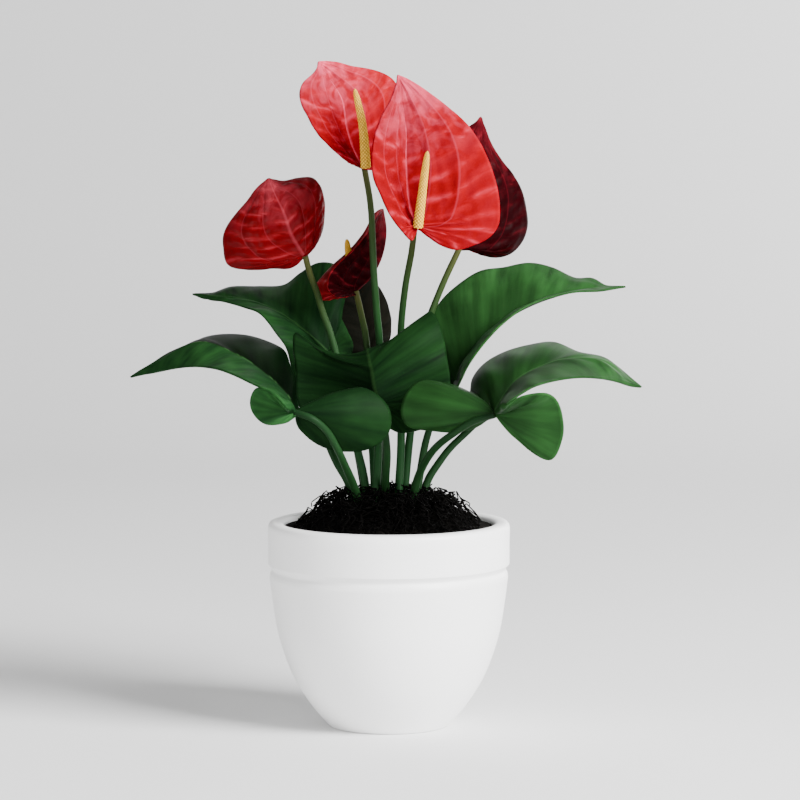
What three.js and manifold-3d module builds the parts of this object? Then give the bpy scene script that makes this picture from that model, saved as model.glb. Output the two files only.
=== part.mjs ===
// Potted anthurium: a tapered white pot filled with dark soil, heart-shaped leaves on bare stalks,
// and blooms that each have a stalk, a glossy heart-shaped spathe and a finger-like spadix.
// Millimetres, +Z up, the viewer on the -Y side; the origin is the centre of the pot's flat base.
import * as THREE from "three";
import { mergeVertices } from "three/addons/utils/BufferGeometryUtils.js";
import Module from "manifold-3d";

const wasm = await Module();
wasm.setup();
const { Manifold, Mesh } = wasm;

const group = new THREE.Group();
group.name = "potted_anthurium";

// ---------- Sizes that several pieces share ----------
const GAP = 0.3; // left between pieces that touch
const POT_HEIGHT = 136;
const RIM_RADIUS = 80;
const RIM_WIDTH = 10.6;
const INNER_RADIUS = RIM_RADIUS - RIM_WIDTH;
const MOUND_HEIGHT = 9; // of the soil's top above the rim
const HEAP_RADIUS = 60; // the soil is level outside it
const STALK_DEPTH = 18; // of a stalk's foot below its first point

// ---------- Shared shapes ----------
const vector = ([x, y, z]) => new THREE.Vector3(x, y, z);
const smoothCurve = (points) => new THREE.CatmullRomCurve3(points.map(vector), false, "centripetal");

// ---------- Materials ----------
const material = (color, roughness) => new THREE.MeshStandardMaterial({ color, roughness, metalness: 0 });
const leafGreen = material(0x2f5a30, 0.45);
const stalkGreen = material(0x5c7a3c, 0.5);
const spatheRed = material(0xc8202c, 0.3);
const spadixCream = material(0xe6c878, 0.6);
const potWhite = material(0xf0f0f0, 0.4);
const soilBrown = material(0x14100d, 0.95);

// A named mesh in the group.
function addNode(name, solid, surface) {
  const { numProp, vertProperties, triVerts } = solid.getMesh();
  const positions = new Float32Array(triVerts.length * 3);
  triVerts.forEach((v, i) => positions.set(vertProperties.subarray(v * numProp, v * numProp + 3), i * 3));
  const geometry = new THREE.BufferGeometry();
  geometry.setAttribute("position", new THREE.BufferAttribute(positions, 3));
  geometry.computeVertexNormals();
  const mesh = new THREE.Mesh(geometry, surface);
  mesh.name = name;
  group.add(mesh);
}

// A closed three.js geometry as a solid, without the triangles that have shrunk to a line.
function solidFrom(geometry) {
  const bare = new THREE.BufferGeometry().setAttribute("position", geometry.getAttribute("position"));
  const merged = mergeVertices(bare.setIndex(geometry.index), 1e-3);
  const corners = merged.index.array;
  const kept = [];
  for (let i = 0; i < corners.length; i += 3) {
    const [a, b, c] = corners.slice(i, i + 3);
    if (a !== b && b !== c && c !== a) kept.push(a, b, c);
  }
  const vertProperties = Float32Array.from(merged.attributes.position.array);
  return new Manifold(new Mesh({ numProp: 3, vertProperties, triVerts: Uint32Array.from(kept) }));
}

// The largest body of a solid: what is left of a stalk after a blade has trimmed its end.
const largestBody = (solid) => solid.decompose().sort((a, b) => b.volume() - a.volume())[0];

// A thin solid grown by the gap on every side, to trim what touches it: its copies, each moved one way.
function grown(solid) {
  const step = 1.5 * GAP;
  const moves = [[step, 0, 0], [-step, 0, 0], [0, step, 0], [0, -step, 0], [0, 0, step], [0, 0, -step]];
  return moves.reduce((sum, move) => sum.add(solid.translate(move)), solid);
}

// A round bar along a smooth curve; radiusAt gives its radius at each share of the length.
function bar(points, radiusAt, { sides = 6, spacing = 12 } = {}) {
  const curve = smoothCurve(points);
  const rings = Math.max(6, Math.ceil(curve.getLength() / spacing));
  const frames = curve.computeFrenetFrames(rings, false);
  const positions = [];
  const index = [];
  for (let i = 0; i <= rings; i++) {
    const centre = curve.getPointAt(i / rings);
    for (let j = 0; j < sides; j++) {
      const angle = (2 * Math.PI * j) / sides;
      const point = centre
        .clone()
        .addScaledVector(frames.normals[i], radiusAt(i / rings) * Math.cos(angle))
        .addScaledVector(frames.binormals[i], radiusAt(i / rings) * Math.sin(angle));
      positions.push(point.x, point.y, point.z);
    }
  }
  for (let i = 0; i < rings; i++)
    for (let j = 0; j < sides; j++) {
      const [a, b] = [i * sides + j, i * sides + ((j + 1) % sides)];
      index.push(a, b, b + sides, a, b + sides, a + sides);
    }
  const foot = positions.length / 3;
  const [first, last] = [curve.getPointAt(0), curve.getPointAt(1)];
  positions.push(first.x, first.y, first.z, last.x, last.y, last.z);
  for (let j = 0; j < sides; j++) {
    const next = (j + 1) % sides;
    index.push(foot, next, j, foot + 1, rings * sides + j, rings * sides + next);
  }
  const geometry = new THREE.BufferGeometry();
  geometry.setAttribute("position", new THREE.Float32BufferAttribute(positions, 3));
  geometry.setIndex(index);
  const solid = solidFrom(geometry);
  return solid.volume() < 0 ? solidFrom(turned(geometry)) : solid;
}

// The same geometry with each face turned round.
function turned(geometry) {
  const index = Array.from(geometry.index.array);
  for (let i = 0; i < index.length; i += 3) [index[i + 1], index[i + 2]] = [index[i + 2], index[i + 1]];
  return geometry.clone().setIndex(index);
}

// ---------- Blades: leaves and spathes ----------
// A blade is drawn by its midrib, from the stalk's junction to the tip, and by two margins, from the
// tip round a rounded lobe to the notch behind the junction. Veins leave the midrib, and fan out
// from the junction into the lobes. Each row of the sheet follows a vein from midrib to margin.
const RIB_ROWS = 9; // rows that start on the midrib
const LOBE_ROWS = 12; // rows that all start at the junction
const VEIN_STEPS = 3; // from midrib to margin
const VEIN_LEAN = 1.25; // above 1, the veins lean towards the tip

// One half of a blade, as rows of points. ahead is the share of the margin that lies ahead of the
// junction, and arch how far the half bulges, as a share of each vein's length.
function halfBlade({ midrib, notch }, { margin, ahead, arch }, side) {
  const rib = smoothCurve(midrib);
  const edge = smoothCurve([midrib.at(-1), ...margin, notch]);
  const rows = RIB_ROWS + LOBE_ROWS;
  const starts = [];
  const ends = [];
  for (let i = 0; i <= rows; i++) {
    const lobe = Math.max(0, (i - RIB_ROWS) / LOBE_ROWS);
    const alongMargin = i < RIB_ROWS ? (ahead * i) / RIB_ROWS : ahead + (1 - ahead) * lobe;
    starts.push(rib.getPointAt(Math.max(0, 1 - i / RIB_ROWS) ** VEIN_LEAN));
    ends.push(edge.getPointAt(alongMargin));
  }
  const middles = starts.map((start, i) => start.clone().lerp(ends[i], 0.5));
  return starts.map((start, i) => {
    const vein = ends[i].clone().sub(start);
    const along = middles[Math.min(i + 1, rows)].clone().sub(middles[Math.max(i - 1, 0)]);
    const out = along.cross(vein).multiplyScalar(side).normalize();
    const lobe = Math.max(0, (i - RIB_ROWS) / LOBE_ROWS);
    const bulge = arch * vein.length() * (1 - lobe ** 6);
    return Array.from({ length: VEIN_STEPS + 1 }, (_, j) => {
      const s = j / VEIN_STEPS;
      return start.clone().addScaledVector(vein, s).addScaledVector(out, bulge * 4 * s * (1 - s));
    });
  });
}

// A blade's middle surface: both halves joined along the midrib and behind the junction.
function bladeSheet(blade) {
  const positions = [];
  for (const [half, side] of [[blade.left, 1], [blade.right, -1]]) {
    const rows = halfBlade(blade, half, side);
    for (let i = 0; i + 1 < rows.length; i++)
      for (let j = 0; j < VEIN_STEPS; j++) {
        const [a, b, c, d] = [rows[i][j], rows[i][j + 1], rows[i + 1][j + 1], rows[i + 1][j]];
        const corners = side > 0 ? [a, c, b, a, d, c] : [a, b, c, a, c, d];
        corners.forEach((p) => positions.push(p.x, p.y, p.z));
      }
  }
  const loose = new THREE.BufferGeometry();
  loose.setAttribute("position", new THREE.Float32BufferAttribute(positions, 3));
  const sheet = mergeVertices(loose, 1e-3);
  const kept = [];
  const corners = sheet.index.array;
  for (let i = 0; i < corners.length; i += 3) {
    const [a, b, c] = corners.slice(i, i + 3);
    if (a !== b && b !== c && c !== a) kept.push(a, b, c);
  }
  sheet.setIndex(kept);
  sheet.computeVertexNormals();
  return sheet;
}

// A solid of the same thickness on both sides of a blade's middle surface.
function bladeSolid(blade, thickness) {
  const sheet = bladeSheet(blade);
  const { position, normal } = sheet.attributes;
  const count = position.count;
  const positions = [];
  for (const side of [0.5, -0.5])
    for (let i = 0; i < count; i++) {
      const point = new THREE.Vector3().fromBufferAttribute(position, i);
      point.addScaledVector(new THREE.Vector3().fromBufferAttribute(normal, i), side * thickness);
      positions.push(point.x, point.y, point.z);
    }
  const top = Array.from(sheet.index.array);
  const index = [...top];
  const edges = new Set();
  for (let i = 0; i < top.length; i += 3) {
    const [a, b, c] = top.slice(i, i + 3);
    index.push(count + a, count + c, count + b);
    [[a, b], [b, c], [c, a]].forEach((edge) => edges.add(edge.join()));
  }
  for (const edge of edges) {
    const [a, b] = edge.split(",").map(Number);
    if (!edges.has([b, a].join())) index.push(b, a, count + a, b, count + a, count + b);
  }
  const geometry = new THREE.BufferGeometry();
  geometry.setAttribute("position", new THREE.Float32BufferAttribute(positions, 3));
  geometry.setIndex(index);
  return solidFrom(geometry);
}

// ---------- Leaves ----------
const LEAF_THICKNESS = 1.2;
const STALK_FOOT_RADIUS = 2.9;
const LEAF_STALK_TOP_RADIUS = 2.1;

const LEAVES = {
  low_left: {
    stalk: [
      [-20, -14, 148], [-22, -26, 160], [-28, -44, 177], [-33, -60, 190], [-40, -70, 203], [-49, -75, 211],
      [-61, -72, 215],
    ],
    midrib: [
      [-60, -72, 215], [-64, -70, 224], [-79, -60, 238], [-99, -46, 250], [-122, -34, 257],
      [-146, -26, 247], [-169, -20, 233],
    ],
    notch: [-58, -74, 214],
    left: {
      margin: [
        [-156, -28, 236], [-129, -48, 242], [-108, -72, 242], [-86, -96, 235], [-70, -108, 228],
        [-64, -108, 221], [-72, -98, 228], [-83, -95, 232], [-87, -93, 226], [-87, -92, 219],
        [-83, -90, 212], [-77, -87, 208], [-68, -80, 208], [-62, -75, 210],
      ],
      ahead: 0.56,
      arch: -0.05,
    },
    right: {
      margin: [
        [-158, -16, 239], [-140, -8, 248], [-120, 0, 258], [-96, 3, 259], [-78, 1, 254], [-69, -3, 249],
        [-66, -11, 241], [-65, -20, 233], [-63, -31, 221], [-59, -40, 210], [-52, -46, 207],
        [-42, -50, 216], [-31, -53, 223], [-19, -55, 229], [-8, -55, 225], [1, -56, 214], [0, -57, 200],
        [-12, -56, 190], [-26, -56, 188], [-39, -58, 190], [-51, -64, 197], [-58, -71, 206],
      ],
      ahead: 0.4,
      arch: -0.05,
    },
  },
  low_right: {
    stalk: [
      [16, -14, 148], [18, -20, 163], [23, -31, 177], [31, -47, 190], [43, -63, 201], [55, -71, 209],
      [68, -72, 213],
    ],
    midrib: [
      [68, -72, 214], [73, -69, 223], [80, -62, 232], [87, -56, 237], [96, -50, 241], [112, -42, 246],
      [137, -34, 245], [157, -28, 231], [165, -26, 227],
    ],
    notch: [69, -74, 212],
    left: {
      margin: [
        [160, -20, 231], [143, -12, 244], [125, 0, 248], [109, 6, 254], [93, 8, 252], [78, 6, 248],
        [66, 4, 242], [59, 0, 236], [55, -6, 230], [54, -14, 225], [53, -22, 223], [50, -30, 224],
        [45, -38, 228], [33, -48, 232], [20, -54, 233], [11, -58, 225], [8, -60, 213], [12, -60, 205],
        [27, -60, 202], [43, -61, 201], [55, -64, 204], [64, -69, 210],
      ],
      ahead: 0.42,
      arch: -0.05,
    },
    right: {
      margin: [
        [158, -32, 228], [147, -42, 232], [131, -62, 236], [113, -82, 237], [91, -100, 233],
        [74, -112, 223], [85, -118, 229], [100, -116, 230], [106, -114, 225], [110, -110, 210],
        [109, -106, 199], [103, -100, 187], [90, -90, 192], [79, -80, 203],
      ],
      ahead: 0.5,
      arch: -0.05,
    },
  },
  middle: {
    stalk: [[-2, -6, 148], [-2, -13, 165], [-1, -23, 184], [-3, -30, 203], [-6, -34, 218]],
    midrib: [
      [-6, -34, 217], [-9, -34, 226], [-11, -30, 238], [-13, -22, 247], [-14, -12, 251], [-15, -3, 246],
      [-16, 3, 234],
    ],
    notch: [-6, -38, 215],
    left: {
      margin: [
        [-27, 5, 236], [-42, 2, 247], [-56, -3, 258], [-62, -7, 261], [-63, -9, 252], [-62, -11, 244],
        [-61, -13, 234], [-61, -15, 224], [-59, -17, 214], [-51, -20, 208], [-37, -24, 205],
        [-23, -29, 205], [-12, -32, 208],
      ],
      ahead: 0.6,
      arch: 0.1,
    },
    right: {
      margin: [
        [-4, 5, 238], [12, 2, 252], [21, -1, 266], [27, -5, 275], [32, -10, 270], [36, -15, 258],
        [38, -20, 246], [40, -27, 233], [39, -36, 221], [35, -43, 211], [27, -46, 204], [17, -46, 200],
        [6, -44, 199], [-3, -40, 205],
      ],
      ahead: 0.6,
      arch: -0.04,
    },
  },
  upper_left: {
    stalk: [
      [-23, 3, 147], [-27, 4, 161], [-35, 7, 175], [-41, 13, 189], [-44, 21, 208], [-43, 26, 228],
      [-41, 27, 246],
    ],
    midrib: [
      [-41, 27, 246], [-55, 25, 259], [-76, 26, 274], [-96, 30, 281], [-116, 36, 283], [-132, 42, 284],
    ],
    notch: [-40, 27, 243],
    left: {
      margin: [
        [-123, 38, 281], [-111, 29, 280], [-97, 18, 277], [-85, 8, 273], [-76, 6, 262], [-68, 8, 250],
        [-65, 12, 238], [-63, 16, 226], [-60, 19, 214], [-55, 21, 208], [-49, 23, 212], [-44, 25, 226],
        [-41, 26, 240],
      ],
      ahead: 0.5,
      arch: -0.06,
    },
    right: {
      margin: [
        [-120, 48, 284], [-107, 56, 288], [-89, 62, 288], [-71, 64, 289], [-60, 64, 297], [-48, 60, 304],
        [-36, 55, 303], [-29, 50, 294], [-32, 46, 281], [-34, 42, 273], [-28, 36, 260], [-24, 31, 250],
        [-28, 27, 240], [-36, 26, 239],
      ],
      ahead: 0.62,
      arch: -0.06,
    },
  },
  upper_right: {
    stalk: [[17, -2, 147], [20, 3, 163], [25, 7, 190], [33, 8, 211], [44, 8, 223]],
    midrib: [
      [44, 8, 223], [47, 6, 236], [56, 8, 249], [70, 12, 263], [89, 20, 275], [114, 30, 284],
      [138, 38, 288], [159, 44, 289],
    ],
    notch: [43, 6, 220],
    left: {
      margin: [
        [147, 48, 289], [137, 54, 294], [126, 56, 294], [110, 60, 301], [95, 60, 304], [77, 58, 301],
        [62, 54, 299], [48, 48, 291], [34, 43, 278], [27, 37, 264], [24, 31, 248], [27, 24, 233],
        [33, 15, 222], [39, 9, 218],
      ],
      ahead: 0.72,
      arch: -0.05,
    },
    right: {
      margin: [
        [142, 30, 287], [123, 14, 287], [105, -2, 284], [90, -14, 279], [75, -24, 269], [62, -31, 256],
        [52, -31, 242], [46, -25, 229], [41, -14, 219], [41, -2, 216],
      ],
      ahead: 0.76,
      arch: -0.05,
    },
  },
  rear: {
    stalk: [[-5, 13, 146], [-4, 24, 170], [-5, 37, 200], [-9, 44, 224], [-14, 46, 243]],
    midrib: [[-14, 46, 242], [-18, 52, 263], [-24, 56, 285], [-30, 58, 304]],
    notch: [-13, 45, 240],
    left: {
      margin: [
        [-37, 60, 299], [-44, 60, 286], [-45, 56, 267], [-40, 50, 249], [-29, 46, 237], [-20, 45, 237],
      ],
      ahead: 0.72,
      arch: -0.06,
    },
    right: {
      margin: [
        [-20, 58, 301], [-9, 56, 291], [-3, 54, 282], [1, 52, 269], [1, 50, 256], [-3, 46, 244],
        [-9, 44, 238],
      ],
      ahead: 0.72,
      arch: -0.06,
    },
  },
  rear_left: {
    stalk: [[-15, 6, 147], [-18, 12, 165], [-22, 19, 185], [-25, 24, 203]],
    midrib: [[-25, 24, 202], [-36, 44, 214], [-54, 80, 221], [-72, 120, 217], [-86, 150, 204]],
    notch: [-23, 21, 199],
    left: {
      margin: [
        [-89, 128, 209], [-88, 100, 222], [-76, 72, 221], [-60, 52, 213], [-46, 37, 204], [-34, 26, 196],
        [-28, 22, 196],
      ],
      ahead: 0.72,
      arch: -0.06,
    },
    right: {
      margin: [
        [-74, 155, 209], [-56, 140, 216], [-40, 115, 223], [-26, 86, 223], [-17, 58, 214], [-13, 38, 204],
        [-14, 27, 196], [-19, 21, 196],
      ],
      ahead: 0.74,
      arch: -0.06,
    },
  },
  rear_right: {
    stalk: [[22, 7, 147], [26, 10, 162], [33, 13, 173], [41, 17, 183], [52, 22, 193], [64, 27, 204]],
    midrib: [[64, 27, 204], [68, 44, 214], [75, 74, 222], [82, 104, 223], [88, 132, 214]],
    notch: [62, 25, 202],
    left: {
      margin: [
        [82, 134, 217], [74, 118, 222], [67, 94, 224], [63, 70, 221], [60, 50, 215], [57, 36, 208],
        [59, 28, 203],
      ],
      ahead: 0.74,
      arch: -0.06,
    },
    right: {
      margin: [[92, 120, 219], [98, 95, 225], [98, 70, 225], [92, 52, 222], [80, 40, 214], [70, 30, 206]],
      ahead: 0.74,
      arch: -0.06,
    },
  },
};

// ---------- Blooms ----------
const SPATHE_THICKNESS = 1.2;
const BLOOM_STALK_TOP_RADIUS = 2;
const SPADIX_FOOT_RADIUS = 3.2;
const SPADIX_TIP_RADIUS = 1.9;

const BLOOMS = {
  top_left: {
    stalk: [
      [-9, -9, 147], [-7, -2, 182], [-7, 11, 220], [-6, 13, 250], [-8, 6, 275], [-10, -1, 305],
      [-12, 3, 345], [-16, 7, 369],
    ],
    midrib: [[-18, 4, 370], [-24, 6, 382], [-28, 8, 395], [-31, 8, 414], [-40, 6, 429], [-46, 2, 439]],
    notch: [-15, 5, 368],
    left: {
      margin: [
        [-48, -1, 433], [-56, -8, 425], [-58, -12, 419], [-57, -16, 412], [-52, -18, 402], [-47, -16, 393],
        [-37, -10, 382], [-28, -3, 374], [-20, 2, 370],
      ],
      ahead: 0.85,
      arch: -0.05,
    },
    right: {
      margin: [
        [-36, 6, 439], [-24, 10, 436], [-12, 14, 434], [-1, 16, 430], [5, 17, 424], [8, 16, 411],
        [6, 14, 391], [-1, 11, 374], [-9, 8, 368],
      ],
      ahead: 0.8,
      arch: -0.05,
    },
    spadix: [[-15, 0, 370], [-17, -10, 397], [-22, -20, 421]],
  },
  top_middle: {
    stalk: [
      [6, -7, 147], [8, 2, 183], [8, 11, 225], [8, 11, 262], [11, -1, 292], [15, -14, 315], [17, -26, 333],
    ],
    midrib: [[17, -28, 333], [13, -26, 345], [11, -25, 372], [11, -26, 394], [8, -28, 417], [6, -32, 430]],
    notch: [19, -29, 330],
    left: {
      margin: [
        [5, -34, 424], [2, -38, 415], [-5, -44, 402], [-10, -50, 385], [-10, -52, 366], [-5, -50, 353],
        [1, -46, 340], [9, -40, 329], [15, -35, 323], [17, -32, 326],
      ],
      ahead: 0.82,
      arch: -0.05,
    },
    right: {
      margin: [
        [15, -30, 426], [27, -28, 418], [40, -28, 408], [51, -30, 398], [60, -33, 385], [67, -36, 369],
        [71, -38, 354], [72, -39, 343], [71, -39, 333], [65, -38, 325], [55, -36, 320], [44, -34, 317],
        [34, -32, 320], [26, -30, 326],
      ],
      ahead: 0.62,
      arch: -0.05,
    },
    spadix: [[19, -32, 332], [22, -42, 356], [25, -54, 381]],
  },
  top_right: {
    stalk: [[10, 3, 147], [13, 9, 182], [19, 15, 230], [24, 18, 260], [35, 20, 290], [47, 22, 316]],
    midrib: [[47, 24, 317], [50, 26, 338], [55, 26, 361], [58, 24, 384], [61, 24, 403]],
    notch: [48, 24, 314],
    left: {
      margin: [
        [57, 24, 399], [50, 28, 393], [43, 34, 379], [37, 40, 361], [35, 44, 341], [37, 42, 324],
        [42, 33, 316],
      ],
      ahead: 0.8,
      arch: -0.12,
    },
    right: {
      margin: [
        [64, 26, 395], [68, 31, 385], [75, 35, 374], [83, 40, 364], [89, 45, 353], [92, 49, 341],
        [93, 52, 330], [90, 53, 320], [83, 51, 312], [73, 44, 309], [61, 34, 311], [53, 27, 314],
      ],
      ahead: 0.66,
      arch: -0.12,
    },
    spadix: [[46, 30, 319], [42, 44, 344], [38, 56, 364]],
  },
  left: {
    stalk: [
      [-14, -3, 147], [-17, 0, 168], [-21, 4, 184], [-30, 11, 225], [-39, 14, 260], [-44, 14, 274],
      [-48, 12, 288], [-52, 8, 299], [-55, 5, 311],
    ],
    midrib: [[-56, 6, 312], [-64, 8, 325], [-69, 10, 339], [-75, 14, 351], [-80, 20, 362]],
    notch: [-56, 6, 310],
    left: {
      margin: [
        [-88, 23, 355], [-94, 25, 347], [-101, 27, 339], [-107, 28, 331], [-110, 28, 324], [-110, 27, 316],
        [-107, 23, 305], [-94, 19, 302], [-77, 15, 303], [-66, 11, 303], [-60, 8, 306],
      ],
      ahead: 0.6,
      arch: -0.12,
    },
    right: {
      margin: [
        [-76, 23, 361], [-70, 26, 360], [-60, 28, 362], [-51, 28, 362], [-46, 27, 357], [-43, 25, 346],
        [-43, 22, 338], [-44, 18, 329], [-47, 14, 321], [-52, 10, 314],
      ],
      ahead: 0.75,
      arch: -0.12,
    },
    spadix: [[-58, 12, 314], [-67, 28, 325], [-74, 42, 334]],
  },
  low: {
    stalk: [
      [-9, 4, 147], [-10, 9, 168], [-11, 13, 184], [-14, 19, 225], [-15, 20, 254], [-19, 17, 275],
      [-22, 14, 288],
    ],
    midrib: [[-21, 14, 288], [-12, 13, 297], [-5, 14, 310], [-2, 16, 327], [-4, 20, 342]],
    notch: [-22, 13, 285],
    left: {
      margin: [
        [-8, 10, 338], [-14, 4, 327], [-24, -2, 315], [-33, -4, 307], [-39, -3, 299], [-40, 0, 290],
        [-34, 6, 284], [-27, 10, 284],
      ],
      ahead: 0.7,
      arch: 0.05,
    },
    right: {
      margin: [
        [-9, 26, 339], [-17, 34, 325], [-27, 39, 313], [-39, 41, 302], [-49, 38, 289], [-45, 30, 281],
        [-35, 22, 282], [-26, 16, 284],
      ],
      ahead: 0.7,
      arch: 0.05,
    },
    spadix: [[-22, 18, 290], [-26, 20, 307], [-28, 20, 322]],
  },
};

// ---------- Stalks and spadices ----------
const stalkHoles = []; // each stalk, grown a little, to cut its hole in the soil

// A stalk goes on straight down from its first point, which is just under the top of the soil.
function stalkSolid(points, topRadius) {
  const [x, y, z] = points[0];
  const radiusAt = (share) => STALK_FOOT_RADIUS + (topRadius - STALK_FOOT_RADIUS) * share;
  stalkHoles.push(bar([[x, y, z - STALK_DEPTH - GAP], ...points], (share) => radiusAt(share) + 2 * GAP));
  return bar([[x, y, z - STALK_DEPTH], ...points], radiusAt);
}

function spadixSolid(points) {
  const taperAt = (share) => SPADIX_FOOT_RADIUS + (SPADIX_TIP_RADIUS - SPADIX_FOOT_RADIUS) * share;
  return bar(points, (share) => taperAt(share) * Math.sqrt(1 - share ** 12), { sides: 8, spacing: 3.5 });
}

for (const [place, leaf] of Object.entries(LEAVES)) {
  const blade = bladeSolid(leaf, LEAF_THICKNESS);
  addNode(`leaf_${place}`, blade.add(stalkSolid(leaf.stalk, LEAF_STALK_TOP_RADIUS)), leafGreen);
}

for (const [place, bloom] of Object.entries(BLOOMS)) {
  const spathe = bladeSolid(bloom, SPATHE_THICKNESS);
  const notch = new THREE.SphereGeometry(2 * SPATHE_THICKNESS, 8, 6).translate(...bloom.notch);
  const clearance = grown(spathe).add(solidFrom(notch));
  const stalk = stalkSolid(bloom.stalk, BLOOM_STALK_TOP_RADIUS);
  addNode(`bloom_${place}_stalk`, largestBody(stalk.subtract(clearance)), stalkGreen);
  addNode(`bloom_${place}_spathe`, spathe, spatheRed);
  addNode(`bloom_${place}_spadix`, largestBody(spadixSolid(bloom.spadix).subtract(clearance)), spadixCream);
}

// ---------- Pot ----------
const POT_SIDES = 48;
const WALL = 6;
const FLOOR = 9;
const point2 = ([radius, height]) => new THREE.Vector2(radius, height);

// The outside from the base up: a tapered body, a soft groove and a plain upright band.
const POT_BODY = [[49.8, 11.3], [60.3, 26.8], [66.9, 40.9], [73.5, 61.7], [77, 82.5], [79.1, 99]];
const GROOVE = [[78.6, 102], [77.4, 104.5], [78.6, 107]];
const BASE_RADIUS = 40.6;
// The inside from the lip down to the middle of the floor.
const POT_INSIDE = [
  [INNER_RADIUS, POT_HEIGHT - 2],
  [INNER_RADIUS, 100],
  [66.9 - WALL, 42],
  [60.3 - WALL, 29],
  [BASE_RADIUS, FLOOR],
  [0, FLOOR],
];

function potProfile() {
  const outside = [[0, 0], [BASE_RADIUS - 2, 0], [BASE_RADIUS, 1], ...POT_BODY, ...GROOVE, [RIM_RADIUS, 109]];
  const lip = [[RIM_RADIUS, POT_HEIGHT - 2.5], [RIM_RADIUS - 2.5, POT_HEIGHT], [INNER_RADIUS + 2, POT_HEIGHT]];
  return [...outside, ...lip, ...POT_INSIDE].map(point2);
}

// A profile in radius and height, turned about the vertical axis.
const turnedSolid = (profile) => new THREE.LatheGeometry(profile.map(point2), POT_SIDES).rotateX(Math.PI / 2);

addNode("pot", solidFrom(turnedSolid(potProfile())), potWhite);

// ---------- Soil ----------
// It fills the pot and heaps up into a broad, lumpy mound, with a plain hole for each stalk.
const SOIL_EDGE = POT_HEIGHT - 3.5; // where the soil meets the wall
const MOUND_RINGS = 8;
const LUMP_HEIGHT = 1.4;

function moundProfile() {
  return Array.from({ length: MOUND_RINGS }, (_, i) => {
    const radius = (INNER_RADIUS - GAP) * (1 - i / MOUND_RINGS);
    const dome = Math.max(0, 1 - (radius / HEAP_RADIUS) ** 3);
    return [radius, SOIL_EDGE + (POT_HEIGHT + MOUND_HEIGHT - SOIL_EDGE) * dome];
  });
}

function soilSolid() {
  const wall = POT_INSIDE.slice(1, -1).map(([radius, height]) => [radius - GAP, height + GAP]);
  const profile = [[0, FLOOR + GAP], ...wall.reverse(), ...moundProfile(), [0, POT_HEIGHT + MOUND_HEIGHT]];
  const geometry = turnedSolid(profile);
  const { position } = geometry.attributes;
  for (let i = 0; i < position.count; i++) {
    const [x, y, z] = [position.getX(i), position.getY(i), position.getZ(i)];
    if (z > SOIL_EDGE + 1) position.setZ(i, z + LUMP_HEIGHT * Math.sin(x / 7) * Math.cos(y / 6));
  }
  return solidFrom(geometry);
}

addNode("soil", largestBody(stalkHoles.reduce((soil, hole) => soil.subtract(hole), soilSolid())), soilBrown);

export default group;
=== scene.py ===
"""Potted anthurium: a white pot of soil and wiry moss, heart-shaped leaves and red blooms on bare stalks."""

import bmesh
import bpy
import numpy as np
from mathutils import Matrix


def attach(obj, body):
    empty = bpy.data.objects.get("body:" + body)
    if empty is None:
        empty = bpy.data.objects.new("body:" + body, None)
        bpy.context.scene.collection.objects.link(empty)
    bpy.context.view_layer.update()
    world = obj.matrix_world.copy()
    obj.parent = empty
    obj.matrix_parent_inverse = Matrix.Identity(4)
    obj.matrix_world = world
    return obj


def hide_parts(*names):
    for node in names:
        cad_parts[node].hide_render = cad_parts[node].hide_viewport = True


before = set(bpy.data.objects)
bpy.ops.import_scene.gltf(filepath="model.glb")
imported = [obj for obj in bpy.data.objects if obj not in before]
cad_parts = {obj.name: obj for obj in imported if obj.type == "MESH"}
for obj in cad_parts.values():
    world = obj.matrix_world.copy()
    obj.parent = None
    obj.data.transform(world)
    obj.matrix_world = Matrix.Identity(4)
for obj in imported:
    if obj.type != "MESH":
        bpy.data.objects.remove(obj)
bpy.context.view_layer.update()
MM = 0.001


# ---------- Camera ----------
# A long lens 2.2 m in front of the plant, at about the height of the upper leaves and looking slightly down.
CAMERA_PLACE = (0.0074, -2.2, 0.405)
CAMERA_PITCH = 4.9  # degrees below level
FOCAL_LENGTH = 150.4  # mm on a 36 mm wide sensor

lens = bpy.data.cameras.new("camera")
lens.lens = FOCAL_LENGTH
lens.sensor_width = 36
lens.clip_end = 30
camera = bpy.data.objects.new("camera", lens)
camera.location = CAMERA_PLACE
camera.rotation_euler = (np.radians(90 - CAMERA_PITCH), 0, 0)
bpy.context.scene.collection.objects.link(camera)
bpy.context.scene.camera = camera


# ---------- Studio ----------
# A seamless pale sweep: a flat floor that curves up into a wall far behind the plant.
# A big soft box stands at the front right and casts the long soft shadow. Weak ones stand low in front and
# at the left and hang overhead, and one lights the wall.
SWEEP_HALF_WIDTH = 6.0
SWEEP_FRONT = -4.0
SWEEP_BACK = 3.2
SWEEP_RADIUS = 1.6
SWEEP_TOP = 5.0


def colour(hexes):
    """An sRGB hex colour as linear red, green, blue and alpha."""
    srgb = np.array([int(hexes[i:i + 2], 16) for i in (1, 3, 5)]) / 255
    linear = np.where(srgb <= 0.04045, srgb / 12.92, ((srgb + 0.055) / 1.055) ** 2.4)
    return (*linear, 1.0)


def add(material, kind, inputs=None, **settings):
    """A shader node of a kind in a material, with its settings, and its inputs by name or number.

    An input is a value, a socket, or a node, which stands for the first of its results in use.
    """
    node = material.node_tree.nodes.new("ShaderNode" + kind)
    for key, value in settings.items():
        setattr(node, key, value)
    for key, value in (inputs or {}).items():
        if isinstance(value, bpy.types.Node):
            value = next(result for result in value.outputs if result.enabled)
        if isinstance(value, bpy.types.NodeSocket):
            material.node_tree.links.new(value, node.inputs[key])
        else:
            node.inputs[key].default_value = value
    return node


def bare_material(name):
    """A material that holds only its output node."""
    material = bpy.data.materials.new(name)
    material.use_nodes = True
    material.node_tree.nodes.clear()
    return material


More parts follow.
